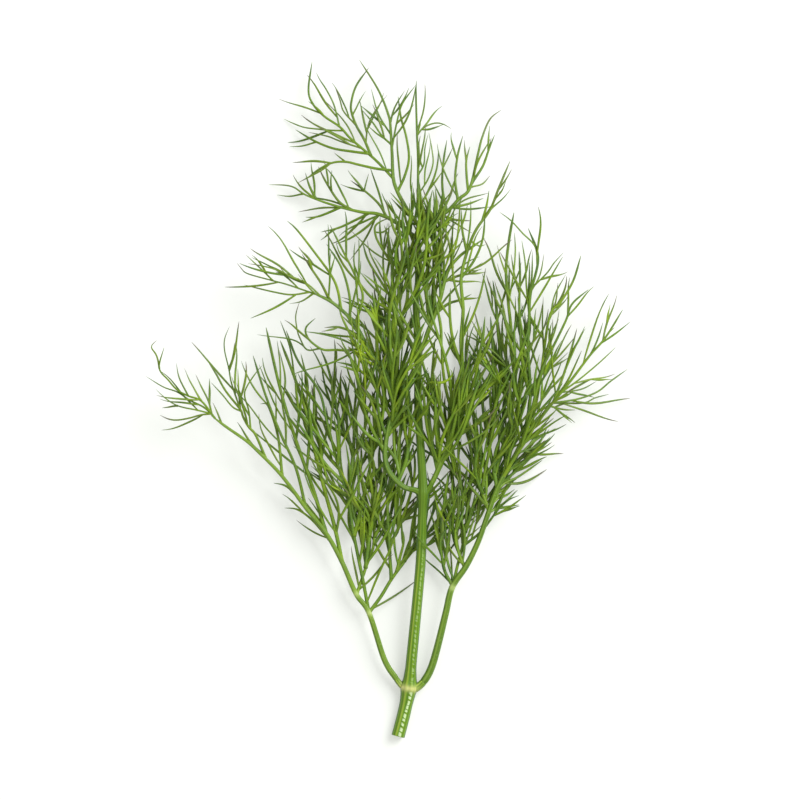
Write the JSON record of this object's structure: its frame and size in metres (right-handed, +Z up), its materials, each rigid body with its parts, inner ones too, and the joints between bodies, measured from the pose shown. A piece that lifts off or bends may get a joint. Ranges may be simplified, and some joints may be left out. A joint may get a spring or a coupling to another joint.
{
  "type": "dill sprig",
  "caption": "Picked dill sprig lying flat: a ribbed stalk with swollen joints, forked side shoots and fine feathery thread leaflets.",
  "frame": {"origin": "middle of the sprig's bounding box, on the surface that it lies on", "axes": "+Y from the cut end of the stalk towards the tip, +Z up from the surface, +X to the right as seen from above"},
  "size_m": [0.1214, 0.17, 0.0147],
  "materials": {
    "stalk": "fresh green stalk, ribbed, satin",
    "leaf": "fresh green thread leaflets, satin with a faint waxy bloom"
  },
  "bodies": {
    "root": {"main_stem": "stalk", "spray_low_left": "leaf", "spray_low_right": "leaf", "spray_second_left": "leaf", "spray_second_right": "leaf", "spray_third_left": "leaf", "spray_third_right": "leaf", "spray_fourth_left": "leaf", "spray_fourth_right": "leaf", "spray_tip": "leaf"}
  },
  "joints": []
}
